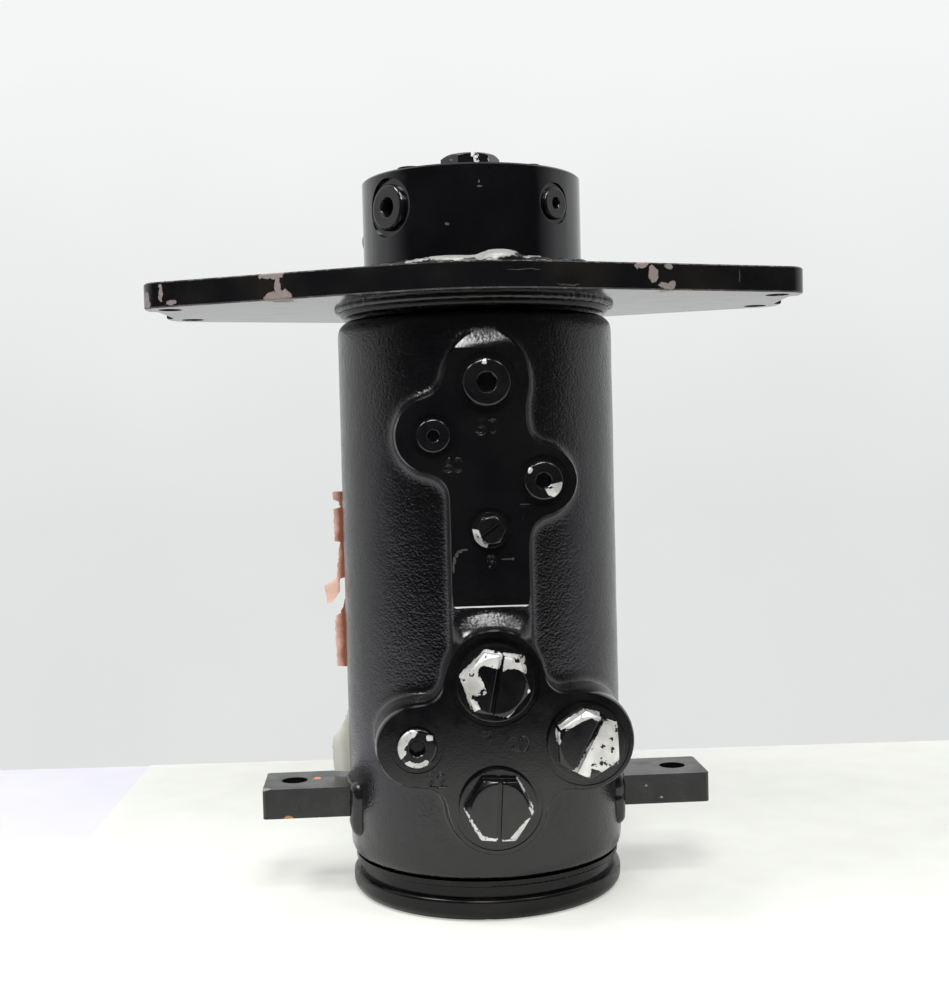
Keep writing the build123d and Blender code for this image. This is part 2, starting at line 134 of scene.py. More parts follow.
def copyOf(piece, matrix=None):
    # a copy with its own mesh, carried to a new place
    twin = piece.copy()
    twin.data = piece.data.copy()
    for key in list(twin.keys()):
        del twin[key]
    twin.parent = None
    bpy.context.scene.collection.objects.link(twin)
    if matrix is not None:
        twin.matrix_world = matrix
        bakePlace(twin)
    return twin


def cylinder(centre, way, radius, depth, sides=96):
    # from its foot along a direction, sizes in millimetres
    place = Vector(centre) * mm + way * (depth * mm / 2)
    bpy.ops.mesh.primitive_cylinder_add(vertices=sides, radius=radius * mm, depth=depth * mm, location=place,
                                        rotation=way.to_track_quat("Z", "Y").to_euler())
    piece = bpy.context.object
    bakePlace(piece)
    return piece


def cut(piece, tool, operation="DIFFERENCE"):
    applyModifier(piece, "BOOLEAN", object=tool, operation=operation, solver="MANIFOLD")
    bpy.data.objects.remove(tool)


def finish(piece, name, material, slot, body, *stoodFor, angle=38):
    piece.name = name
    piece.data.name = name
    choose(piece)
    bpy.ops.object.shade_smooth_by_angle(angle=radians(angle))
    applyModifier(piece, "WEIGHTED_NORMAL", mode="FACE_AREA", weight=60, keep_sharp=True)
    paint(material, piece)
    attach(piece, body)
    if stoodFor:
        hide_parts(*stoodFor)
    print(name, sum(len(face.vertices) - 2 for face in piece.data.polygons), "triangles")


# camera square to the port side, a little below the plate
cameraSet = {"place": (0.4 * mm, -878.1 * mm, 272.7 * mm), "turn": (87.70, 1.418, 0.126), "lens": 51.01}
bpy.ops.object.camera_add(location=cameraSet["place"], rotation=[radians(a) for a in cameraSet["turn"]])
camera = bpy.context.object
camera.data.lens = cameraSet["lens"]
camera.data.sensor_width = 36.0
camera.data.clip_start = 0.01
bpy.context.scene.camera = camera
bpy.context.scene.view_settings.view_transform = "Standard"
print("camera set")

# the port side is turned a little about the swivel axis
housingTurn = radians(4.0)
frontWay = Vector((sin(housingTurn), -cos(housingTurn), 0))
acrossWay = Vector((cos(housingTurn), sin(housingTurn), 0))


def onPad(x, z, reach):
    # metres from millimetres across, up and out from the axis
    return (acrossWay * x + frontWay * reach + up * z) * mm


def seatMatrix(across, outward, origin, turn=0.0):
    # a place whose z faces outward, its y up the part
    side = across.normalized()
    out = outward.normalized()
    rows = Matrix((side, out.cross(side), out)).transposed().to_4x4()
    return Matrix.Translation(origin) @ rows @ Matrix.Rotation(radians(turn), 4, "Z")


def raggedSpots(tree, point, spots, ragged):
    # ragged spots, each a centre and half sizes in millimetres
    for size, reach in zip((7.0, 1.6), ragged):
        wobble = addNode(tree, "TexNoise", Vector=point, Scale=1 / size, Detail=2.0).outputs["Color"]
        centred = addNode(tree, "VectorMath", "SUBTRACT", i0=wobble, i1=(0.5, 0.5, 0.5))
        point = addNode(tree, "VectorMath", "MULTIPLY_ADD", i0=centred, i1=(4 * reach,) * 3, i2=point)
    nearest = None
    for centre, half in spots:
        offset = addNode(tree, "VectorMath", "SUBTRACT", i0=point, i1=centre)
        scaled = addNode(tree, "VectorMath", "DIVIDE", i0=offset, i1=half)
        away = addNode(tree, "VectorMath", "LENGTH", i0=scaled)
        nearest = addNode(tree, "Math", "MINIMUM", i0=nearest, i1=away) if nearest else away
    return addNode(tree, "MapRange", Value=nearest, From_Min=1.0, From_Max=0.93)


def addTurning(tree, point, film, look):
    # tool marks show through as rings, drawn at 0.9 mm so that they can be seen
    height = addNode(tree, "SeparateXYZ", Vector=point).outputs["Z"]
    rings = addNode(tree, "TexNoise", "1D", W=height, Scale=1 / 0.9, Detail=1.0)
    film["normal"] = addNode(tree, "Bump", Height=rings, Distance=look["turning"] * mm, Normal=film["normal"])


def addSandGrain(tree, point, film, look):
    # sand grain of the mould, off the pads, and stronger towards the top of the barrel
    height = addNode(tree, "SeparateXYZ", Vector=point).outputs["Z"]
    flat = addNode(tree, "VectorMath", "MULTIPLY", i0=point, i1=(1.0, 1.0, 0.0))
    radius = addNode(tree, "VectorMath", "LENGTH", i0=flat)
    onBarrel = addNode(tree, "MapRange", Value=radius, From_Min=87.5, From_Max=85.2)
    climb = addNode(tree, "MapRange", Value=height, From_Min=60.0, From_Max=190.0, To_Min=0.6, To_Max=1.0)
    strong = addNode(tree, "Math", "MULTIPLY", i0=onBarrel, i1=climb)
    # the skirt between the two pads was never dressed
    skirtBand = addNode(tree, "Math", "COMPARE", i0=height, i1=175.0, i2=5.4)
    skirtBand = addNode(tree, "Math", "MULTIPLY", i0=skirtBand, i1=0.9)
    strong = addNode(tree, "Math", "MAXIMUM", i0=strong, i1=skirtBand)
    strong = addNode(tree, "Math", "MAXIMUM", i0=strong, i1=0.08)
    grain = addNode(tree, "TexNoise", Vector=point, Scale=1 / look["grain"], Detail=2.0, Roughness=0.55)
    lumps = addNode(tree, "TexVoronoi", "SMOOTH_F1", Vector=point, Scale=1 / (1.5 * look["grain"]))
    rise = addNode(tree, "Math", "SUBTRACT", i0=grain, i1=lumps)
    rise = addNode(tree, "Math", "MULTIPLY", i0=rise, i1=strong)
    film["normal"] = addNode(tree, "Bump", Height=rise, Distance=look["pebbles"] * mm, Normal=film["normal"])
    # the bore is honed bare iron
    bare = addNode(tree, "Math", "LESS_THAN", i0=radius, i1=67.2)
    honed = addNode(tree, "Math", "MULTIPLY", i0=bare, i1=0.28)
    film["colour"] = addNode(tree, "Mix", "RGBA", i0=bare, i6=film["colour"], i7=linear("#8d8a86"))
    film["rough"] = addNode(tree, "Math", "MAXIMUM", i0=film["rough"], i1=honed)
    film["metal"] = bare


def addGroundShaft(tree, point, film, look):
    # below the head the shaft is ground and has no paint
    height = addNode(tree, "SeparateXYZ", Vector=point).outputs["Z"]
    bare = addNode(tree, "Math", "LESS_THAN", i0=height, i1=look["shaftTop"])
    film["colour"] = addNode(tree, "Mix", "RGBA", i0=bare, i6=film["colour"], i7=linear("#a5a4a2"))
    film["metal"] = bare


def addRimWear(tree, point, film, look):
    # handling wear along the plate's upper and lower rims
    middle, half = look["edges"]
    height = addNode(tree, "SeparateXYZ", Vector=point).outputs["Z"]
    rim = addNode(tree, "Math", "SUBTRACT", i0=height, i1=middle)
    rim = addNode(tree, "Math", "ABSOLUTE", i0=rim)
    side = addNode(tree, "Math", "LESS_THAN", i0=rim, i1=half + 0.8)
    rim = addNode(tree, "MapRange", Value=rim, From_Min=half, From_Max=half + 0.5)
    rim = addNode(tree, "Math", "MULTIPLY", i0=rim, i1=side)
    scuff = addNode(tree, "TexNoise", Vector=point, Scale=1 / 5.0, Detail=4.0, Roughness=0.7)
    scuff = addNode(tree, "MapRange", Value=scuff, From_Min=0.5, From_Max=0.56)
    worn = addNode(tree, "Math", "MULTIPLY", i0=rim, i1=scuff)
    dull = addNode(tree, "Math", "MULTIPLY", i0=worn, i1=0.45)
    film["colour"] = addNode(tree, "Mix", "RGBA", i0=worn, i6=film["colour"], i7=linear("#5c524d"))
    film["rough"] = addNode(tree, "Math", "MAXIMUM", i0=film["rough"], i1=dull)


def addMarks(tree, point, film, look):
    # chips and stains, and painted highlights, in two mottled tones, a step below the film
    for tones, rough, spots, ragged in look["marks"]:
        mask = raggedSpots(tree, point, spots, ragged)
        mottled = addNode(tree, "TexNoise", Vector=point, Scale=1 / 1.8, Detail=3.0)
        shade = addNode(tree, "Mix", "RGBA", i0=mottled, i6=linear(tones[0]), i7=linear(tones[1]))
        step = addNode(tree, "Math", "SUBTRACT", i0=1.0, i1=mask)
        film["colour"] = addNode(tree, "Mix", "RGBA", i0=mask, i6=film["colour"], i7=shade)
        film["rough"] = addNode(tree, "Mix", "FLOAT", i0=mask, i2=film["rough"], i3=rough)
        film["normal"] = addNode(tree, "Bump", Height=step, Distance=0.12 * mm, Normal=film["normal"])


def addFlakesAndGlints(tree, point, film, look):
    # zinc bared where the film has let go, and small painted highlights, from the signed distance kept on the
    # mesh
    kept = addNode(tree, "Attribute", "bare").outputs["Fac"]
    edge = addNode(tree, "TexNoise", Vector=point, Scale=1 / 1.3, Detail=3.0)
    edge = addNode(tree, "Math", "MULTIPLY_ADD", i0=edge, i1=0.09, i2=-0.045)
    mask = addNode(tree, "Math", "ADD", i0=kept, i1=edge)
    mask = addNode(tree, "MapRange", Value=mask, From_Min=0.5, From_Max=0.506)
    # islands of paint that still hold
    islands = addNode(tree, "TexNoise", Vector=point, Scale=1 / 4.2, Detail=4.0, Roughness=0.6)
    islands = addNode(tree, "MapRange", Value=islands, From_Min=0.605, From_Max=0.59)
    mask = addNode(tree, "Math", "MULTIPLY", i0=mask, i1=islands)
    zinc = addNode(tree, "MapRange", Value=film["handled"], From_Min=0.3, From_Max=0.7)
    zinc = addNode(tree, "Mix", "RGBA", i0=zinc, i6=linear("#ecebe8"), i7=linear("#aeaca8"))
    step = addNode(tree, "Math", "SUBTRACT", i0=1.0, i1=mask)
    film["colour"] = addNode(tree, "Mix", "RGBA", i0=mask, i6=film["colour"], i7=zinc)
    film["rough"] = addNode(tree, "Mix", "FLOAT", i0=mask, i2=film["rough"], i3=0.42)
    film["metal"] = addNode(tree, "Math", "MULTIPLY", i0=mask, i1=0.45)
    film["normal"] = addNode(tree, "Bump", Height=step, Distance=0.15 * mm, Normal=film["normal"])


# what each key of a look adds to the film, from the iron outwards
filmParts = {"turning": addTurning, "pebbles": addSandGrain, "shaftTop": addGroundShaft, "edges": addRimWear,
             "marks": addMarks, "flakingAndGlints": addFlakesAndGlints}


def enamel(name, look):
    # black air-dried enamel: a wet gloss that levels over what is under it, dulled by hands and dust
    material, tree, point = newMaterial(name)
    patches = addNode(tree, "TexNoise", Vector=point, Scale=1 / look["patch"], Detail=3.0)
    patches = addNode(tree, "MapRange", Value=patches, From_Min=0.38, From_Max=0.66)
    handled = addNode(tree, "TexNoise", Vector=point, Scale=1 / 16.0, Detail=5.0, Roughness=0.62)
    # orange peel of a sprayed film, about 2 mm from crest to crest
    peel = addNode(tree, "TexNoise", Vector=point, Scale=1 / 2.1, Detail=1.0)
    film = {
        "handled": handled,
        "colour": addNode(tree, "Mix", "RGBA", i0=patches, i6=linear(look["deep"]), i7=linear(look["worn"])),
        "rough": addNode(tree, "MapRange", Value=handled, From_Min=0.35, From_Max=0.75, To_Min=look["gloss"],
                         To_Max=look["dull"]),
        "metal": 0.0,
        "normal": addNode(tree, "Bump", Height=peel, Distance=look["peel"] * mm),
    }
    for key, addPart in filmParts.items():
        if key in look:
            addPart(tree, point, film, look)
    shader = addNode(tree, "BsdfPrincipled", Base_Color=film["colour"], Roughness=film["rough"],
                     Metallic=film["metal"], Normal=film["normal"], IOR=look.get("index", 1.5))
    addNode(tree, "OutputMaterial", Surface=shader)
    return material


def plain(name, look):
    # one hidden finish: two tones, a grain of a known size and its roughness
    material, tree, point = newMaterial(name)
    grain = addNode(tree, "TexNoise", Vector=point, Scale=1 / look["grain"], Detail=4.0)
    colour = addNode(tree, "Mix", "RGBA", i0=grain, i6=linear(look["tones"][0]), i7=linear(look["tones"][1]))
    rough = addNode(tree, "MapRange", Value=grain, To_Min=look["rough"][0], To_Max=look["rough"][1])
    normal = addNode(tree, "Bump", Height=grain, Distance=look["relief"] * mm)
    shader = addNode(tree, "BsdfPrincipled", Base_Color=colour, Roughness=rough, Normal=normal,
                     Metallic=look["metal"])
    addNode(tree, "OutputMaterial", Surface=shader)
    return material


pinkGrey = ("#8b807a", "#675d58")
paleGrey = ("#a9a8a4", "#6c6a68")
plateMarks = [
    (pinkGrey, 0.5, [((-182, -46, 364), (1.5, 12, 5.5)), ((-175, -48, 358.4), (3.4, 12, 1.8)),
                     ((-191, -40, 361), (2.2, 14, 5))], (1.2, 0.5)),
    (pinkGrey, 0.5, [((-113, -72, 370.5), (8.5, 12, 2.8)), ((-110, -72, 364.5), (2.4, 12, 5)),
                     ((-109, -73, 358), (9, 12, 4.2))], (1.3, 0.6)),
    (pinkGrey, 0.5, [((94, -78, 370.4), (4.6, 12, 2.2)), ((101, -73, 364.5), (3.4, 12, 6)),
                     ((108, -70, 358.6), (7.5, 12, 2.8)),
                     ((110, -68, 369.6), (4.6, 12, 2.6))], (1.3, 0.6)),
    (("#3f3a37", "#2a2725"), 0.35, [((153, -53, 365), (0.7, 9, 8)), ((30, -110, 366), (12, 6, 0.3)),
                                   ((52, -98, 358), (7, 8, 0.45))], (0.8, 0.5)),
]
castEnamel = enamel("castEnamel",
                    {"deep": "#070709", "worn": "#0f0e0f", "patch": 42.0, "gloss": 0.11, "dull": 0.24,
                                   "peel": 0.008, "pebbles": 0.2, "grain": 1.0, "marks": [
    # painted highlights: pale streaks where paint-run ridges below port D catch the light
    (("#4c4a48", "#2e2d2c"), 0.25,
     [((-14.7, -89, 203.6), (0.7, 6, 3.2)), ((-14.0, -89, 207.6), (0.8, 6, 2.0)),
                                   ((-12.8, -89, 210.4), (1.0, 6, 1.5)), ((-11.0, -89, 212.4), (1.5, 6, 0.9)),
                                   ((-8.6, -89, 213.4), (2.0, 6, 0.6)), ((15.0, -88, 207.4), (3.2, 6, 0.45)),
                                   ((18.6, -88, 207.4), (0.8, 6, 0.8))], (0.3, 0.2)),
]})
turnedEnamel = enamel("turnedEnamel",
                      {"deep": "#060609", "worn": "#0c0b0e", "patch": 30.0, "gloss": 0.09, "dull": 0.17,
                                       "peel": 0.004, "turning": 0.0012, "shaftTop": 348.0, "marks": [
    (("#55524f", "#34322f"), 0.3, [((5.0, -66.5, 418.6), (1.8, 5, 0.4)), ((5.0, -66.5, 421.3), (0.5, 5, 0.9)),
                                   ((-14.0, -65.4, 398.0), (1.4, 5, 0.8))], (0.3, 0.2)),
]})
coverEnamel = enamel("coverEnamel",
                     {"deep": "#08080a", "worn": "#12100d", "patch": 24.0, "gloss": 0.16, "dull": 0.34,
                                     "peel": 0.014, "turning": 0.008, "index": 1.32})
plateEnamel = enamel("plateEnamel",
                     {"deep": "#0c0c0e", "worn": "#1a1815", "patch": 34.0, "gloss": 0.06, "dull": 0.15,
                                     "peel": 0.0015, "edges": (363.6, 6.7), "marks": plateMarks})
barEnamel = enamel("barEnamel",
                   {"deep": "#0b0b0c", "worn": "#151413", "patch": 20.0, "gloss": 0.22, "dull": 0.42,
                                 "peel": 0.02, "marks": [
    (("#d8764c", "#e8a183"), 0.5, [((-104.7, -4, 66.8), (2.6, 3.4, 1.2))], (0.8, 0.4)),
    (("#b57f3c", "#94683c"), 0.5, [((-119, -30, 49.3), (3.0, 3, 1.3))], (0.8, 0.4)),
    (paleGrey, 0.4, [((-133, -30, 66.6), (3.6, 3, 1.2)), ((108, -15, 52.5), (1.0, 4, 0.8)),
                     ((99, -15, 60), (0.6, 4, 0.6))], (0.5, 0.4)),
]})
weldEnamel = enamel("weldEnamel",
                    {"deep": "#0b0b0d", "worn": "#171514", "patch": 9.0, "gloss": 0.14, "dull": 0.36,
                                   "peel": 0.03, "marks": [
    # painted highlights: pale grey where the top of the head bead catches the light
    (paleGrey, 0.3, [((-4, -73, 379), (24, 8, 2.6)), ((17, -71, 382), (11, 9, 3.6)),
                     ((34, -65, 378.5), (5, 8, 1.2)),
                     ((-30, -66, 377.5), (9, 8, 1.2))], (1.6, 0.7)),
]})
plugEnamel = enamel("plugEnamel",
                    {"deep": "#0a0a0c", "worn": "#131213", "patch": 12.0, "gloss": 0.1, "dull": 0.24,
                                   "peel": 0.012, "flakingAndGlints": True})
# rubber: soft black with a moulding bloom
sealRubber = plain("nitrileRubber",
                   {"tones": ("#141414", "#232322"), "grain": 1.4, "rough": (0.5, 0.68), "relief": 0.02,
                    "metal": 0.0})
# bronze-filled PTFE: waxy and brown-green
slipperPtfe = plain("filledPtfe",
                    {"tones": ("#4c6a5e", "#5d7a6c"), "grain": 0.7, "rough": (0.42, 0.55), "relief": 0.01,
                     "metal": 0.0})
bronze = plain("bearingBronze",
               {"tones": ("#a9793f", "#c1924f"), "grain": 3.0, "rough": (0.3, 0.42), "relief": 0.01,
                "metal": 1.0})
blackOxide = plain("blackOxideSteel",
                   {"tones": ("#2a2a2c", "#3b3a3a"), "grain": 1.1, "rough": (0.34, 0.5), "relief": 0.012,
                    "metal": 1.0})

paint(sealRubber, "cover_seal", "seal_energisers", "wiper_seal", "housing_plug_seals", "head_plug_seals")
paint(slipperPtfe, "slipper_seals", "wear_rings")
paint(bronze, "thrust_washer")
paint(blackOxide, "cover_bolts", "thrust_plate", "thrust_bolts")
paint(turnedEnamel, "stem")
paint(coverEnamel, "bottom_cover", "collar_ring")
paint(plateEnamel, "mounting_plate")
paint(barEnamel, "torque_bar_left", "torque_bar_right")
paint(plugEnamel, *[name for name in nodes if "plug" in name and "seals" not in name])
paint(weldEnamel, "bar_welds", "plate_welds")
paint(castEnamel, "body_casting")
print("materials made")

# cast housing: the machined solid is grown, softened like a sand casting, then machined again
castSet = {
    "voxel": 1.65, "growPads": 2.6, "softSteps": 26, "softFactor": 0.5,
    "upperReach": 88.0, "lowerReach": 98.0, "millFoot": 181.5, "hollowReach": 88.7, "barrelRadius": 84.0,
    "boreRadius": 60.06, "boreFiller": 68.0, "bottom": 23.2, "top": 348.5,
    "waves": (24.0, 0.25), "pebbles": (4.2, 0.07), "spotDepth": 1.0,
    "facetFoot": 325.6, "facetTilt": 18.0, "lipTilt": 34.0, "lobeFoot": 60.0, "lobeRadius": 28.6,
}
# filler over port A: rise above the port, radius, length
topFiller = (4.8, 22.8, 33.0)
# skirt: radii at foot and tip, length, how far it is sunk
skirtSet = (40.0, 30.6, 6.4, 0.6)
# middle height, width, height and depth of the cutters for the neck and the two milled faces
neckCut, upperMill, lowerMill = (171, 90, 26, 30), (castSet["millFoot"] + 80, 130, 160, 20), (100, 200, 170,
                                                                                              20)
# across, height, reach, spotface radius, thread radius, thread depth
portSet = {
    "a": (0.0, 306.4, 88.0, 17.4, 10.53, 15.0),
    "b": (-30.5, 277.2, 88.0, 12.2, 6.63, 13.0),
    "c": (30.5, 250.8, 88.0, 14.6, 8.38, 14.0),
    "d": (0.0, 224.0, 88.0, 12.5, 6.63, 12.0),
    "e": (0.0, 140.0, 98.0, 25.0, 16.68, 19.0),
    "f": (50.0, 105.2, 98.0, 25.0, 16.68, 19.0),
    "g": (0.0, 70.6, 98.0, 25.0, 16.68, 19.0),
    "h": (-44.0, 105.2, 98.0, 14.6, 8.38, 14.0),
}
# plain numbers stamped beside the ports: text, across, height, reach, letter height
stampSet = [
    ("50", -0.3, 280.9, 88.0, 9.5), ("60", -19.8, 260.2, 88.0, 8.5), ("7", 19.9, 232.9, 88.0, 9.5),
    ("9", 0.4, 205.5, 88.0, 8.0),
    ("8", -5.3, 109.1, 98.0, 9.0), ("20", 12.4, 104.5, 98.0, 9.0), ("22", -34.0, 85.7, 98.0, 9.0),
]


def reachOf(co):
    return co.dot(frontWay) / mm


def block(reach, z, width, height, depth):
    # a box before the pads, from its back face outwards
    bpy.ops.mesh.primitive_cube_add(size=1, location=onPad(0, z, reach + depth / 2),
                                    rotation=(0, 0, housingTurn))
    tool = bpy.context.object
    tool.scale = (width * mm, depth * mm, height * mm)
    bakePlace(tool)
    return tool


def rampCut(piece, z, reach, tilt, width, rise):
    # all that stands before a plane that leans back by the tilt, from its foot up
    bpy.ops.mesh.primitive_cube_add(size=1)
    tool = bpy.context.object
    tool.data.transform(Matrix.Diagonal((width * mm, rise * mm, 20 * mm, 1)))
    tool.data.transform(Matrix.Translation((0, rise / 2 * mm, 10 * mm)))
    way = frontWay * cos(radians(tilt)) + up * sin(radians(tilt))
    tool.matrix_world = seatMatrix(acrossWay, way, onPad(0, z, reach))
    bakePlace(tool)
    cut(piece, tool)


casting = copyOf(nodes["body_casting"])
applyModifier(casting, "WELD", merge_threshold=0.00002)
padFoot, padReach = 30, 60


def onPads(vertex):
    radius, height = hypot(vertex.co.x, vertex.co.y) / mm, vertex.co.z / mm
    return radius > castSet["barrelRadius"] + 0.08 and reachOf(vertex.co) > padReach and height > padFoot


pick(casting, "VERT", onPads)
bpy.ops.transform.translate(value=frontWay * castSet["growPads"] * mm)
bpy.ops.object.mode_set(mode="OBJECT")
# bore and ports are filled before the skin is remade
barrelHeight = castSet["top"] - castSet["bottom"]
fillers = [cylinder((0, 0, castSet["bottom"]), up, castSet["boreFiller"], barrelHeight, 128)]
for x, z, reach, spot, thread, depth in portSet.values():
    foot = onPad(x, z, reach - depth - 4) / mm
    fillers.append(cylinder(foot, frontWay, spot + 0.4, depth + 4 + castSet["growPads"], 48))
rise, radius, length = topFiller
fillers.append(cylinder(onPad(0, portSet["a"][1] + rise, castSet["lobeFoot"]) / mm, frontWay, radius, length,
                        64))
casting = joinAll([casting] + fillers)
applyModifier(casting, "REMESH", mode="VOXEL", voxel_size=castSet["voxel"] * mm)
# the neck is hollow between the two pads, with a skirt down to it from the lower one
cut(casting, block(castSet["hollowReach"], *neckCut))
lowX, lowZ, lowReach = portSet["e"][:3]
lobe = cylinder(onPad(lowX, lowZ, castSet["lobeFoot"]) / mm, frontWay, castSet["lobeRadius"],
                lowReach + castSet["growPads"] - castSet["lobeFoot"], 96)
wide, narrow, length, sunk = skirtSet
bpy.ops.mesh.primitive_cone_add(vertices=96, radius1=wide * mm, radius2=narrow * mm, depth=length * mm,
                                location=onPad(lowX, lowZ, castSet["hollowReach"] - sunk + length / 2),
                                rotation=frontWay.to_track_quat("Z", "Y").to_euler())
skirt = bpy.context.object
bakePlace(skirt)
cut(skirt, block(70, lowZ + 30, 40, 44, 40), "INTERSECT")
casting = joinAll([casting, lobe, skirt])
applyModifier(casting, "REMESH", mode="VOXEL", voxel_size=castSet["voxel"] * mm)
applyModifier(casting, "SMOOTH", factor=castSet["softFactor"], iterations=castSet["softSteps"])
for name in ("waves", "pebbles"):
    size, depth = castSet[name]
    texture = bpy.data.textures.new(name, "CLOUDS")
    texture.noise_scale = size * mm
    texture.noise_basis = "IMPROVED_PERLIN"
    applyModifier(casting, "DISPLACE", texture=texture, strength=2 * depth * mm, mid_level=0.5,
                  texture_coords="LOCAL")
# milled pad faces, a ground facet over the top port, the bore
cut(casting, block(castSet["upperReach"], *upperMill))
cut(casting, block(castSet["lowerReach"], *lowerMill))
rampCut(casting, castSet["facetFoot"], castSet["upperReach"], castSet["facetTilt"], 60, 12)
lipTilt = radians(castSet["lipTilt"])
lipRise = (castSet["hollowReach"] - castSet["upperReach"]) / tan(lipTilt)
rampCut(casting, castSet["millFoot"] - lipRise, castSet["hollowReach"], castSet["lipTilt"], 100,
        lipRise / cos(lipTilt))
cut(casting, cylinder((0, 0, castSet["bottom"] - 3), up, castSet["boreRadius"], 330, 192))
for x, z, reach, spot, thread, depth in portSet.values():
    floorReach = reach - castSet["spotDepth"]
    tool = cylinder(onPad(x, z, floorReach) / mm, frontWay, spot, castSet["spotDepth"] + 4, 96)
    pick(tool, "FACE", lambda face: reachOf(face.center) < floorReach + 0.1 and len(face.vertices) > 8)
    bpy.ops.mesh.inset(thickness=(spot - thread) * mm, depth=0)
    bpy.ops.mesh.extrude_region_move(TRANSFORM_OT_translate={"value": -frontWay * depth * mm})
    bpy.ops.object.mode_set(mode="OBJECT")
    cut(casting, tool)
# letter size against its height, depth, how much a stroke is thinned, and the rim's radius
stampLook = {"letter": 1.35, "depth": 0.5, "thin": 0.16, "rim": 0.38}
stamps, rims = [], []
for text, x, z, reach, size in stampSet:
    for solid in (True, False):
        bpy.ops.object.text_add()
        stamp = bpy.context.object
        stamp.data.body = text
        stamp.data.size = size * stampLook["letter"] * mm
        stamp.data.align_x = "CENTER"
        stamp.data.align_y = "CENTER"
        if solid:
            stamp.data.extrude = stampLook["depth"] * mm
            stamp.data.offset = -stampLook["thin"] * mm
        else:
            # metal pushed up round the number
            stamp.data.fill_mode = "NONE"
            stamp.data.bevel_depth = stampLook["rim"] * mm
            stamp.data.bevel_resolution = 1
            stamp.data.resolution_u = 4
        choose(stamp)
        bpy.ops.object.convert(target="MESH")
        stamp = bpy.context.object
        applyModifier(stamp, "WELD", merge_threshold=0.00001)
        stampReach = reach if solid else reach - stampLook["thin"]
        stamp.matrix_world = seatMatrix(acrossWay, frontWay, onPad(x, z, stampReach))
        bakePlace(stamp)
        (stamps if solid else rims).append(stamp)
cut(casting, joinAll(stamps))
finish(joinAll(rims), "portNumberRims", castEnamel, "cast_paint", "housing", angle=60)
finish(casting, "castHousing", castEnamel, "cast_paint", "housing", "body_casting", angle=24)

# screw plugs: thread radius, collar radius and height, key, key height (0 for a socket), shank depth
plugSet = {
    "small": (6.58, 10.0, 2.6, 14.7, 6.0, 10.0),
    "quarter": (6.58, 9.5, 4.0, 6.0, 0.0, 11.0),
    "threeEighths": (8.33, 11.0, 4.5, 8.0, 0.0, 12.0),
    "half": (10.48, 13.6, 4.8, 10.0, 0.0, 13.0),
    "threeQuarter": (13.22, 18.0, 4.0, 30.5, 7.0, 15.0),
    "one": (16.63, 21.8, 4.0, 33.0, 9.0, 17.0),
}


# shares of the key: face of the head, slot's length and width, socket's depth, lead-in's radii and depth;
# then the slot's share of the head's height and the rim's share of the collar
plugShape = {"face": 0.475, "slotLong": 2.4, "slotWide": 0.075, "socket": 0.75, "leadFoot": 0.5,
             "leadTop": 0.72,
             "leadDeep": 0.22, "slotDeep": 0.76, "rim": 0.15}


def hexHead(plug, collarHeight, key, keyHeight):
    # a hexagon whose outer corners are turned down at thirty degrees, with a slot across it
    head = cylinder((0, 0, collarHeight - 1), up, key / 3 ** 0.5, keyHeight + 1, 6)
    face = plugShape["face"] * key
    bpy.ops.mesh.primitive_cone_add(vertices=96, radius1=(face + 1.732 * (keyHeight + 1)) * mm,
                                    radius2=face * mm,
                                    depth=(keyHeight + 1) * mm,
                                    location=(0, 0, (collarHeight + (keyHeight - 1) / 2) * mm))
    turned = bpy.context.object
    bakePlace(turned)
    cut(head, turned, "INTERSECT")
    cut(plug, head, "UNION")
    bpy.ops.mesh.primitive_cube_add(size=1, location=(0, 0, (collarHeight + keyHeight) * mm))
    slot = bpy.context.object
    slot.scale = (plugShape["slotLong"] * key * mm, plugShape["slotWide"] * key * mm,
                  plugShape["slotDeep"] * keyHeight * mm)
    bakePlace(slot)
    cut(plug, slot)
    applyModifier(plug, "BEVEL", width=0.35 * mm, segments=2, limit_method="ANGLE", angle_limit=radians(28))


def hexSocket(plug, collar, collarHeight, key):
    # a hexagon socket with a turned lead-in, in a collar whose rim is rounded
    socket = cylinder((0, 0, collarHeight - plugShape["socket"] * key), up, key / 3 ** 0.5, key, 6)
    socket.data.transform(Matrix.Rotation(radians(-30), 4, "Z"))
    cut(plug, socket)
    bpy.ops.mesh.primitive_cone_add(vertices=64, radius1=plugShape["leadFoot"] * key * mm,
                                    radius2=plugShape["leadTop"] * key * mm,
                                    depth=plugShape["leadDeep"] * key * mm,
                                    location=(0, 0, collarHeight * mm))
    cut(plug, bpy.context.object)

    def onRim(edge):
        ends = [plug.data.vertices[i].co for i in edge.vertices]
        return all(abs(co.z / mm - collarHeight) < 0.02 and abs(hypot(co.x,
                                                                      co.y) / mm - collar) < 0.1 for co in ends)

    pick(plug, "EDGE", onRim)
    bpy.ops.mesh.bevel(offset=plugShape["rim"] * collar * mm, segments=5)
    bpy.ops.object.mode_set(mode="OBJECT")
    applyModifier(plug, "BEVEL", width=0.3 * mm, segments=2, limit_method="ANGLE", angle_limit=radians(40))


def makePlug(size):
    thread, collar, collarHeight, key, keyHeight, depth = plugSet[size]
    plug = cylinder((0, 0, 0), up, collar, collarHeight, 96)
    pick(plug, "FACE", lambda face: face.normal.z < -0.9)
    bpy.ops.mesh.inset(thickness=(collar - thread) * mm, depth=0)
    bpy.ops.mesh.extrude_region_move(TRANSFORM_OT_translate={"value": (0, 0, -depth * mm)})
    bpy.ops.object.mode_set(mode="OBJECT")
    if keyHeight:
        hexHead(plug, collarHeight, key, keyHeight)
    else:
        hexSocket(plug, collar, collarHeight, key)
    return plug


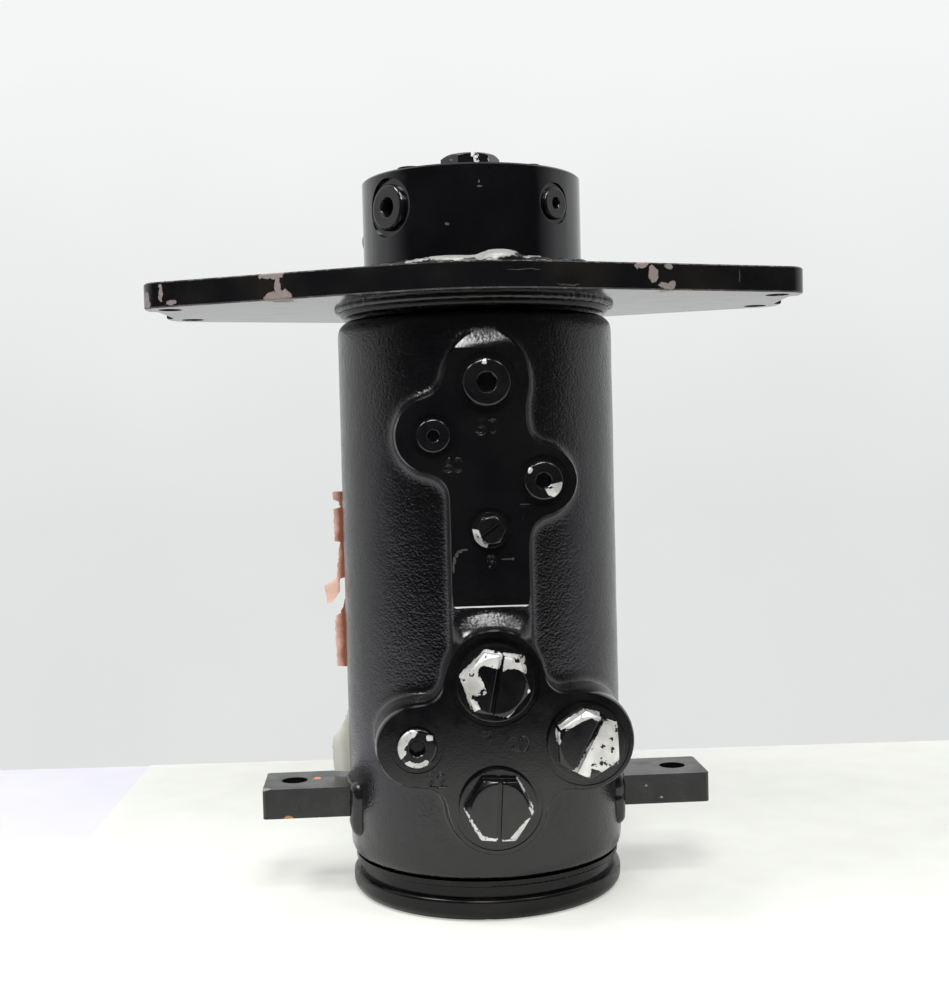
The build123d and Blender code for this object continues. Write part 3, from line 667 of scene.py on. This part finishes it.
def gridCut(piece, reach, step):
    # crossing cuts, so that the flakes kept on the mesh stay sharp
    choose(piece)
    bpy.ops.object.mode_set(mode="EDIT")
    for way in ((1, 0, 0), (0, 1, 0)):
        for i in range(int(-reach / step), int(reach / step) + 1):
            bpy.ops.mesh.select_all(action="SELECT")
            bpy.ops.mesh.bisect(plane_co=[a * (i + 0.37) * step * mm for a in way], plane_no=way)
    bpy.ops.object.mode_set(mode="OBJECT")


def insideBy(u, v, outline):
    # signed distance in millimetres from a closed outline, positive inside
    best, inside = 1e9, False
    for (ax, ay), (bx, by) in zip(outline, outline[1:] + outline[:1]):
        dx, dy = bx - ax, by - ay
        t = max(0.0, min(1.0, ((u - ax) * dx + (v - ay) * dy) / (dx * dx + dy * dy)))
        best = min(best, hypot(u - ax - t * dx, v - ay - t * dy))
        if (ay > v) != (by > v) and u < (bx - ax) * (v - ay) / (by - ay) + ax:
            inside = not inside
    return best if inside else -best


def keepFlakesAndGlints(piece, place, outlines, depthFrom=0.5):
    # u and v are read in the unturned seat, so a flake or painted highlight stays where it is while the plug
    # turns
    back = place.inverted()
    attribute = piece.data.attributes.new("bare", "FLOAT", "POINT")
    for i, vertex in enumerate(piece.data.vertices):
        local = back @ vertex.co
        u, v, w = local.x / mm, local.y / mm, local.z / mm
        signed = max([insideBy(u, v, outline) for outline in outlines] + [-9.0])
        if w < depthFrom:
            signed = -9.0
        attribute.data[i].value = max(0.0, min(1.0, 0.5 + 0.05 * signed))


# bared patches on the plugs, and a few small painted highlights, as outlines across and up from the centre
flakeAndGlintOutlines = {
    # on a: a painted highlight near the top of the collar
    "a": [[(-2.6, 10.6), (-1.8, 12.7), (-0.2, 13.0), (0.3, 11.2), (-0.4, 9.6), (-2.0, 9.4)]],
    # the first outline of c: a painted highlight up and to the left
    "c": [[(-9.2, 5.6), (-7.9, 7.7), (-6.1, 7.0), (-6.3, 4.8), (-8.1, 4.3)],
          [(0.2, -4.0), (5.2, -1.6), (10.0, -0.8), (11.2, -5.0), (7.0, -10.0), (2.0, -7.8)]],
    "d": [[(-10.4, 0.8), (-7.0, 0.6), (-5.2, -4.2), (-1.2, -8.4), (-2.6, -10.6), (-6.6, -9.0), (-10.6, -5.6),
           (-9.0, -3.0)]],
    "e": [[(-5.4, 19.2), (4.0, 17.0), (2.4, 8.6), (-3.6, 10.6), (-8.0, 11.6), (-10.4, 8.4), (-8.2, 4.0),
           (-6.8, 0.0), (-5.4, -4.0),
           (-10.2, -5.8), (-10.8, -9.0), (-9.0, -12.4), (-13.8, -14.6), (-20.2, 5.4)],
          [(5.0, 17.0), (16.4, 15.0), (17.4, 4.2), (12.2, 8.6), (7.0, 9.2), (3.2, 7.6)],
          [(-4.4, -17.0), (5.6, -19.4), (12.6, -12.4), (11.6, -12.2), (4.8, -17.8)],
          [(17.4, -2.2), (19.8, -5.2), (18.6, -5.8), (16.6, -4.6)]],
    "f": [[(8.6, 13.6), (17.4, 10.8), (17.4, -12.8), (7.6, -15.2), (1.0, -12.4), (0.0, -19.0), (-7.8, -16.0),
           (-2.8, -5.2), (1.8, 1.6),
           (4.8, 6.4)],
          [(-1.0, 19.0), (7.6, 16.8), (6.8, 11.8), (2.0, 15.2), (-2.8, 13.8), (-13.2, 8.2), (-16.2, 10.0),
           (-7.6, 15.8)],
          [(-17.4, 8.6), (-15.8, 7.8), (-15.6, 1.4), (-17.2, 0.4)],
          [(-9.6, -13.4), (-7.0, -12.6), (-7.4, -15.8), (-9.8, -15.6)]],
    "g": [[(-19.4, 0.4), (-18.0, 1.0), (-13.4, -7.0), (-9.8, -12.8), (-1.4, -15.0), (-1.0, -18.0),
           (-10.6, -17.4), (-15.4, -9.0)],
          [(0.8, -15.6), (4.6, -15.8), (9.4, -10.2), (11.8, -7.6), (14.4, -5.2), (17.6, -3.2), (15.2, 3.4),
           (19.6, -0.4), (9.2, -18.2),
           (0.6, -18.2)],
          [(9.6, 17.8), (10.8, 17.4), (19.4, 0.6), (18.2, 0.4)]],
    "h": [[(-11.2, -7.0), (-11.4, 3.0), (-7.6, 8.6), (-3.0, 10.8), (0.4, 9.6), (-1.8, 6.2), (-4.0, 5.8),
           (-5.6, 2.0), (-7.6, 0.4),
           (-6.0, -1.6), (-7.4, -4.4)],
          [(-8.4, -8.4), (-4.4, -6.2), (-1.4, -8.0), (2.4, -7.4), (4.4, -5.6), (7.2, -8.6), (3.0, -11.4),
           (-4.6, -11.2)],
          # the last outline of h: a painted highlight up and to the right
          [(5.2, 4.4), (8.6, 4.2), (8.6, 6.6), (6.2, 8.0), (4.8, 6.8)]],
    "top": [[(-18.0, -7.0), (-15.2, -9.4), (-11.8, -9.8), (-9.0, -14.4), (-12.4, -16.4), (-18.0, -12.0)],
            [(2.4, -14.6), (5.6, -15.0), (6.4, -18.0), (1.8, -18.0)],
            [(9.4, -15.4), (13.8, -9.6), (16.4, -10.4), (12.6, -16.4)]],
}
prototypes = {size: makePlug(size) for size in plugSet}
for size in ("small", "half", "threeEighths", "threeQuarter", "one"):
    gridCut(prototypes[size], plugSet[size][1] + 1, 1.3)
print("plugs modelled", {size: len(plug.data.polygons) for size, plug in prototypes.items()})


# the head: radius, height, foot and top, how far its socket plugs are sunk, and its two rows of ports
hubRadius, hubHeight, hubFoot, hubTop, hubSunk = 66.7, 61.1, 371.2, 432.3, 1.6
upperPort, middlePort = hubFoot + 0.655 * hubHeight, hubFoot + 0.5 * hubHeight


def hubSeat(bearing, height, spot):
    # flat spotface on the side of the head: bearing from the front towards +X
    out = Vector((sin(radians(bearing)), -cos(radians(bearing)), 0))
    side = Vector((cos(radians(bearing)), sin(radians(bearing)), 0))
    reach = (hubRadius ** 2 - spot ** 2) ** 0.5 - 0.2
    return side, out, (out * reach + up * height) * mm


# piece, CAD node, slot, then for each plug: size, port and turn
plugPieces = [
    ("housingPlugHalf", "housing_plug_half", "plug_paint", [("half", "a", 10.0)]),
    ("housingPlugQuarter", "housing_plug_quarter", "plug_paint", [("quarter", "b", 0.0)]),
    ("housingPlugsThreeEighths", "housing_plugs_three_eighths", "plug_paint",
     [("threeEighths", "c", 20.0), ("threeEighths", "h", 15.0)]),
    ("housingPlugSmall", "housing_plug_small", "plug_zinc", [("small", "d", 35.0)]),
    ("housingPlugsOne", "housing_plugs_one", "plug_zinc",
     [("one", "e", 78.5), ("one", "f", 62.4), ("one", "g", 86.6)]),
]
for name, node, slot, plugs in plugPieces:
    made = []
    for size, port, turn in plugs:
        x, z, reach = portSet[port][:3]
        seat = onPad(x, z, reach - castSet["spotDepth"])
        plug = copyOf(prototypes[size], seatMatrix(acrossWay, frontWay, seat, turn))
        keepFlakesAndGlints(plug, seatMatrix(acrossWay, frontWay, seat), flakeAndGlintOutlines.get(port, []))
        made.append(plug)
    finish(joinAll(made), name, plugEnamel, slot, "housing", node, angle=32)
# piece, CAD node, slot, then for each plug: size, bearing, height and spotface radius
headPieces = [
    ("headPlugHalf", "head_plug_half", "plug_paint", [("half", -47.0, upperPort, 17.4)]),
    ("headPlugQuarter", "head_plug_quarter", "plug_paint", [("quarter", 47.0, upperPort, 12.2)]),
    ("headPlugThreeEighths", "head_plug_three_eighths", "plug_paint",
     [("threeEighths", 116.0, middlePort, 14.6)]),
    ("headPlugSmall", "head_plug_small", "plug_zinc", [("small", -116.0, middlePort, 12.5)]),
    ("headPlugsOne", "head_plugs_one", "plug_zinc",
     [("one", -152.0, middlePort, 25.0), ("one", 152.0, middlePort, 25.0)]),
]
for name, node, slot, plugs in headPieces:
    made = []
    for size, bearing, height, spot in plugs:
        side, out, origin = hubSeat(bearing, height, spot)
        if plugSet[size][4] == 0:
            # the socket plugs sit deeper in the head
            origin = origin - out * hubSunk * mm
        plug = copyOf(prototypes[size], seatMatrix(side, out, origin, 70.0))
        keepFlakesAndGlints(plug, seatMatrix(side, out, origin), [])
        made.append(plug)
    finish(joinAll(made), name, plugEnamel, slot, "stem", node, angle=32)
topPlace = Vector((0, -30.0, hubTop - 1.0)) * mm
topPlug = copyOf(prototypes["threeQuarter"],
                 Matrix.Translation(topPlace) @ Matrix.Rotation(radians(97.0), 4, "Z"))
keepFlakesAndGlints(topPlug, Matrix.Translation(topPlace), flakeAndGlintOutlines["top"])
finish(topPlug, "headPlugTop", plugEnamel, "plug_zinc", "stem", "head_plug_top", angle=32)
for plug in prototypes.values():
    bpy.data.objects.remove(plug)

# weld beads: overlapping puddles along a path, melted into one skin
weldSet = {
    "head": {"radius": 6.6, "step": 3.8, "skin": 1.05, "soft": 12, "squash": 1.0},
    "collar": {"radius": 2.3, "step": 2.2, "skin": 0.8, "soft": 3, "squash": 0.9},
    "bars": {"radius": 8.0, "step": 3.2, "skin": 1.1, "soft": 14, "squash": 0.9},
    "barTops": {"radius": 2.2, "step": 2.2, "skin": 0.8, "soft": 2, "squash": 0.9},
}


def weldBead(path, look, lumps=()):
    # path: points in millimetres with the direction along the seam
    bpy.ops.mesh.primitive_ico_sphere_add(subdivisions=3, radius=look["radius"] * mm)
    puddle = bpy.context.object
    made = []
    for i, (place, along) in enumerate(path):
        jitter = noise.noise_vector(place * 0.21 + Vector((i * 0.7, 0.3, 0.9)))
        size = 1 + 0.22 * jitter.x
        tilt = along.to_track_quat("X", "Z").to_matrix().to_4x4()
        shape = Matrix.Diagonal((look["squash"] * size, size, size * (1 + 0.12 * jitter.y), 1))
        made.append(copyOf(puddle,
                           Matrix.Translation((place + jitter * 0.12 * look["radius"]) * mm) @ tilt @ shape))
    for place, sizes in lumps:
        shape = Matrix.Diagonal([s / look["radius"] for s in sizes] + [1])
        made.append(copyOf(puddle, Matrix.Translation(Vector(place) * mm) @ shape))
    bpy.data.objects.remove(puddle)
    bead = joinAll(made)
    applyModifier(bead, "REMESH", mode="VOXEL", voxel_size=look["skin"] * mm)
    applyModifier(bead, "SMOOTH", factor=0.5, iterations=look["soft"])
    return bead


def ringPath(radius, height, step):
    count = int(2 * pi * radius / step)
    for i in range(count):
        a = 2 * pi * i / count
        yield Vector((radius * cos(a), radius * sin(a), height)), Vector((-sin(a), cos(a), 0))


headBead = weldBead(list(ringPath(68.6, 372.6, weldSet["head"]["step"])), weldSet["head"],
                    lumps=[((15, -67, 376.4), (15, 6, 6.6)), ((-12, -68.5, 375.4), (24, 6, 4.4)),
                           ((34, -60, 375.4), (13, 6, 4.0))])
collarBead = weldBead(list(ringPath(83.4, 355.4, weldSet["collar"]["step"])), weldSet["collar"])
finish(joinAll([headBead, collarBead]), "plateWeldBeads", weldEnamel, "plate_paint", "stem", "plate_welds",
       angle=60)

# the bars, how far the side beads stand off them, and how deep each kind sits in the barrel
barSet = {"halfWidth": 22.5, "low": 48.8, "top": 66.8, "stand": 3.6}
beadDepth = {"bars": 3.6, "barTops": -0.2}
sideway = barSet["halfWidth"] + barSet["stand"]
beads = []
for way in (1, -1):
    # full beads down the two sides of the bar, a thin one over and under it
    seams = {
        "bars": [((w * sideway, barSet["top"] - 2), (w * sideway, barSet["low"] - 5)) for w in (-1, 1)],
        "barTops": [((-barSet["halfWidth"], z), (barSet["halfWidth"], z))
                    for z in (barSet["top"] + 0.2, barSet["low"] - 0.6)],
    }
    for kind, lines in seams.items():
        for (ax, ay), (bx, by) in lines:
            count = int(hypot(bx - ax, by - ay) / weldSet[kind]["step"])
            path = []
            for i in range(count + 1):
                s, z = ax + (bx - ax) * i / count, ay + (by - ay) * i / count
                out = (castSet["barrelRadius"] ** 2 - s ** 2) ** 0.5 - beadDepth[kind]
                along = (-frontWay * (bx - ax) + up * (by - ay)).normalized()
                path.append((acrossWay * way * out - frontWay * s + up * z, along))
            beads.append(weldBead(path, weldSet[kind]))
finish(joinAll(beads), "barWeldBeads", weldEnamel, "plate_paint", "housing", "bar_welds", angle=60)
print("welds laid")

# torn masking tape and a scrap of film that stand off the left side of the barrel
scrapSet = {
    "tape": {"x": -84.0, "y": 6.0, "rows": [
        (244.6, 6.4, 0.0), (243.4, 7.4, 0.0), (239.6, 7.2, 0.0), (238.0, 3.4, 0.0), (234.6, 2.8, 0.0),
        (233.4, 6.9, 0.0), (222.0, 6.8, 0.0),
        (213.6, 6.4, 0.0), (213.0, 3.2, 0.0), (202.0, 4.6, 0.0), (191.0, 6.4, 0.2), (190.0, 6.9, 3.8),
        (188.0, 9.5, 4.2), (185.0, 14.0, 4.0),
        (182.0, 13.6, 4.1), (178.0, 12.8, 7.0), (174.6, 12.2, 10.5)]},
    "lower": {"x": -84.0, "y": 8.0, "rows": [
        (179.0, 0.8, -1.0), (173.0, 2.2, -1.0), (168.0, 4.4, -1.0), (166.6, 7.4, -1.0), (156.0, 7.9, -1.0),
        (146.0, 7.7, -1.0), (134.4, 7.4, -1.0)]},
    "film": {"x": -83.0, "y": 4.0, "rows": [
        (108.0, 1.5, -1.0), (102.0, 4.0, -1.0), (96.0, 7.0, -1.0), (90.0, 12.0, -1.0), (82.0, 12.6, -1.0),
        (74.0, 12.4, -1.0), (68.5, 12.0, -1.0)]},
}


def tornStrip(look, columns=8, thick=0.25):
    # a grid pulled to the torn outline row by row, curled a little, then given its thickness
    rows = look["rows"]
    spans = []
    for (za, wa, ia), (zb, wb, ib) in zip(rows, rows[1:]):
        steps = max(1, int((za - zb) / 1.2))
        spans += [(za + (zb - za) * k / steps, wa + (wb - wa) * k / steps,
                   ia + (ib - ia) * k / steps) for k in range(steps)]
    spans.append(rows[-1])
    bpy.ops.mesh.primitive_grid_add(x_subdivisions=columns, y_subdivisions=len(spans) - 1, size=1.0)
    strip = bpy.context.object
    side = columns + 1
    for i, vertex in enumerate(strip.data.vertices):
        row, column = divmod(i, side)
        z, outer, inner = spans[min(row, len(spans) - 1)]
        t = column / columns
        ragged = noise.noise((z * 0.9, look["y"], 0.5)) * 0.7
        away = inner + (outer + ragged - inner) * t
        curl = 1.6 * sin(z * 0.11) * t + 2.2 * t * t
        vertex.co = Vector((look["x"] - away, look["y"] + curl, z)) * mm
    applyModifier(strip, "SOLIDIFY", thickness=thick * mm, offset=0.0)
    return strip


def tapeFinish(name, look):
    # crepe paper: fine cross creases 0.8 mm apart, browner where glue soaked in near the iron
    material, tree, point = newMaterial(name)
    stretched = addNode(tree, "VectorMath", "MULTIPLY", i0=point, i1=(0.25, 0.25, 1.0))
    creases = addNode(tree, "TexNoise", Vector=stretched, Scale=1 / 0.8, Detail=2.0)
    blots = addNode(tree, "TexNoise", Vector=point, Scale=1 / 11.0, Detail=4.0)
    across = addNode(tree, "SeparateXYZ", Vector=point).outputs["X"]
    free = addNode(tree, "MapRange", Value=across, From_Min=-85.5, From_Max=-92.0, To_Min=-0.3, To_Max=0.5)
    soaked = addNode(tree, "Math", "ADD", i0=blots, i1=free)
    soaked = addNode(tree, "MapRange", Value=soaked, From_Min=0.35, From_Max=0.85)
    colour = addNode(tree, "Mix", "RGBA", i0=soaked, i6=linear(look["near"]), i7=linear(look["free"]))
    normal = addNode(tree, "Bump", Height=creases, Distance=0.05 * mm)
    shader = addNode(tree, "BsdfPrincipled", Base_Color=colour, Roughness=look["rough"], Normal=normal,
                     Alpha=look["cover"])
    addNode(tree, "OutputMaterial", Surface=shader)
    return material


kraftTape = tapeFinish("creasedMaskingTape",
                       {"near": "#84472c", "free": "#d8b09f", "rough": 0.55, "cover": 1.0})
agedFilm = tapeFinish("agedWrappingFilm", {"near": "#c9c8b8", "free": "#e9e8df", "rough": 0.35, "cover": 0.7})
finish(joinAll([tornStrip(scrapSet["tape"]), tornStrip(scrapSet["lower"])]), "tornTape", kraftTape,
       "seal_rubber", "housing", angle=70)
finish(tornStrip(scrapSet["film"]), "filmScrap", agedFilm, "seal_rubber", "housing", angle=70)
print("trim made")

# stage: a sheet of paper on a pale table before a plain wall
stageSet = {
    "wallY": 2.5, "wallPaintedLight": (100.0, 1240.0),
    "table": [(-1.6, 0.315), (1.6, 0.385), (1.6, -1.6), (-1.6, -1.6)],
    "paper": [(-0.291, 0.343), (0.62, 0.373), (0.62, -0.75), (-0.247, -0.75)],
}


def paleStage(name, tones, grain, relief, high=None, darkFrom=None):
    # matt and pale, and half of what the camera sees is its plain colour
    material, tree, point = newMaterial(name)
    fibres = addNode(tree, "TexNoise", Vector=point, Scale=1 / grain, Detail=5.0)
    shade = addNode(tree, "MapRange", Value=fibres, From_Min=0.3, From_Max=0.7)
    place = addNode(tree, "SeparateXYZ", Vector=point).outputs
    path = addNode(tree, "LightPath").outputs
    if high:
        # painted light: the wall's colour grows lighter towards the top
        climb = addNode(tree, "MapRange", Value=place["Z"], From_Min=high[0], From_Max=high[1])
        shade = addNode(tree, "Math", "MULTIPLY_ADD", i0=shade, i1=0.12, i2=climb)
    colour = addNode(tree, "Mix", "RGBA", i0=shade, i6=linear(tones[0]), i7=linear(tones[1]))
    normal = addNode(tree, "Bump", Height=fibres, Distance=relief * mm)
    surface = addNode(tree, "BsdfDiffuse", Color=colour, Normal=normal)
    level = addNode(tree, "Emission", Color=colour)
    half = addNode(tree, "Math", "MULTIPLY", i0=path["Is Camera Ray"], i1=0.5)
    surface = addNode(tree, "MixShader", i0=half, i1=surface, i2=level)
    if high:
        # the wall is level for the camera and in reflections
        seen = addNode(tree, "Math", "MAXIMUM", i0=path["Is Camera Ray"], i1=path["Is Glossy Ray"])
        surface = addNode(tree, "MixShader", i0=seen, i1=surface, i2=level)
    if darkFrom:
        # painted shade in reflections: seen in glossy rays, the bench is dark from a forearm's length in front
        # of the part
        front = addNode(tree, "MapRange", Value=place["Y"], From_Min=darkFrom[0], From_Max=darkFrom[1])
        mirrored = addNode(tree, "Math", "MULTIPLY", i0=front, i1=path["Is Glossy Ray"])
        dark = addNode(tree, "BsdfDiffuse", Color=linear("#1c1c1e"))
        surface = addNode(tree, "MixShader", i0=mirrored, i1=surface, i2=dark)
    addNode(tree, "OutputMaterial", Surface=surface)
    return material


def flatSheet(corners, height):
    # four corners from the back left, clockwise seen from above
    bpy.ops.mesh.primitive_plane_add(size=1)
    sheet = bpy.context.object
    for vertex, (x, y) in zip(sheet.data.vertices, (corners[3], corners[2], corners[0], corners[1])):
        vertex.co = (x, y, height)
    return sheet


# the wall stands well back, so that the part can be looked at from all sides
bpy.ops.mesh.primitive_plane_add(size=1, location=(0, stageSet["wallY"], 0.8), rotation=(radians(90), 0, 0))
wall = bpy.context.object
wall.scale = (9.0, 4.6, 1)
bakePlace(wall)
paint(paleStage("emulsionWall", ("#e0e2e1", "#f5f7f6"), 440.0, 0.2, high=stageSet["wallPaintedLight"]), wall)
table = flatSheet(stageSet["table"], -0.9 * mm)
applyModifier(table, "SOLIDIFY", thickness=24 * mm, offset=-1.0)
paint(paleStage("laminateTable", ("#f1f0f8", "#f6f5fc"), 60.0, 0.05, darkFrom=(-420.0, -640.0)), table)
paper = flatSheet(stageSet["paper"], -0.05 * mm)
applyModifier(paper, "SOLIDIFY", thickness=0.5 * mm, offset=-1.0)
paint(paleStage("uncoatedPaper", ("#f5f6f0", "#fafbf5"), 34.0, 0.12, darkFrom=(-420.0, -640.0)), paper)
for piece, name in ((wall, "stageWall"), (table, "stageTable"), (paper, "stagePaper")):
    piece.name = name

# room: white walls beside and behind the part, a dark room in front of it
world = bpy.data.worlds.new("room")
bpy.context.scene.world = world
world.use_nodes = True
worldTree = world.node_tree
worldTree.nodes.clear()
direction = addNode(worldTree, "TexCoord").outputs["Generated"]
parts = addNode(worldTree, "SeparateXYZ", Vector=direction).outputs
behind = addNode(worldTree, "MapRange", Value=parts["Y"], From_Min=-0.35, From_Max=0.15, To_Min=0.05,
                 To_Max=0.85)
above = addNode(worldTree, "MapRange", Value=parts["Z"], From_Min=0.35, From_Max=0.9, To_Min=0.0, To_Max=0.5)
level = addNode(worldTree, "Math", "MAXIMUM", i0=behind, i1=above)
room = addNode(worldTree, "Background", Color=linear("#fbfcff"), Strength=level)
# looked at directly, the room is as pale as the wall
seen = addNode(worldTree, "Background", Color=linear("#e3e5e4"))
looking = addNode(worldTree, "LightPath").outputs["Is Camera Ray"]
background = addNode(worldTree, "MixShader", i0=looking, i1=room, i2=seen)
addNode(worldTree, "OutputWorld", Surface=background)

# place, aim, size and power of the soft boxes
lampSet = {
    "overhead": ((0.06, -0.72, 1.34), (0, -0.05, 0.25), (0.5, 0.3), 8.0),
    "left": ((-0.75, -0.35, 1.25), (0, 0, 0.2), (0.4, 0.4), 9.0),
    "right": ((0.7, -0.6, 1.25), (0, 0, 0.2), (0.35, 0.35), 3.0),
    "low": ((-0.04, -0.95, 1.06), (0, 0, 0.3), (0.34, 0.18), 5.5),
}
for name, (place, aim, size, power) in lampSet.items():
    turn = (Vector(place) - Vector(aim)).to_track_quat("Z", "Y").to_euler()
    bpy.ops.object.light_add(type="AREA", location=place, rotation=turn)
    lamp = bpy.context.object
    lamp.name = name + "Lamp"
    lamp.data.shape = "RECTANGLE"
    lamp.data.size, lamp.data.size_y = size
    lamp.data.energy = power
print("stage and lamps set")
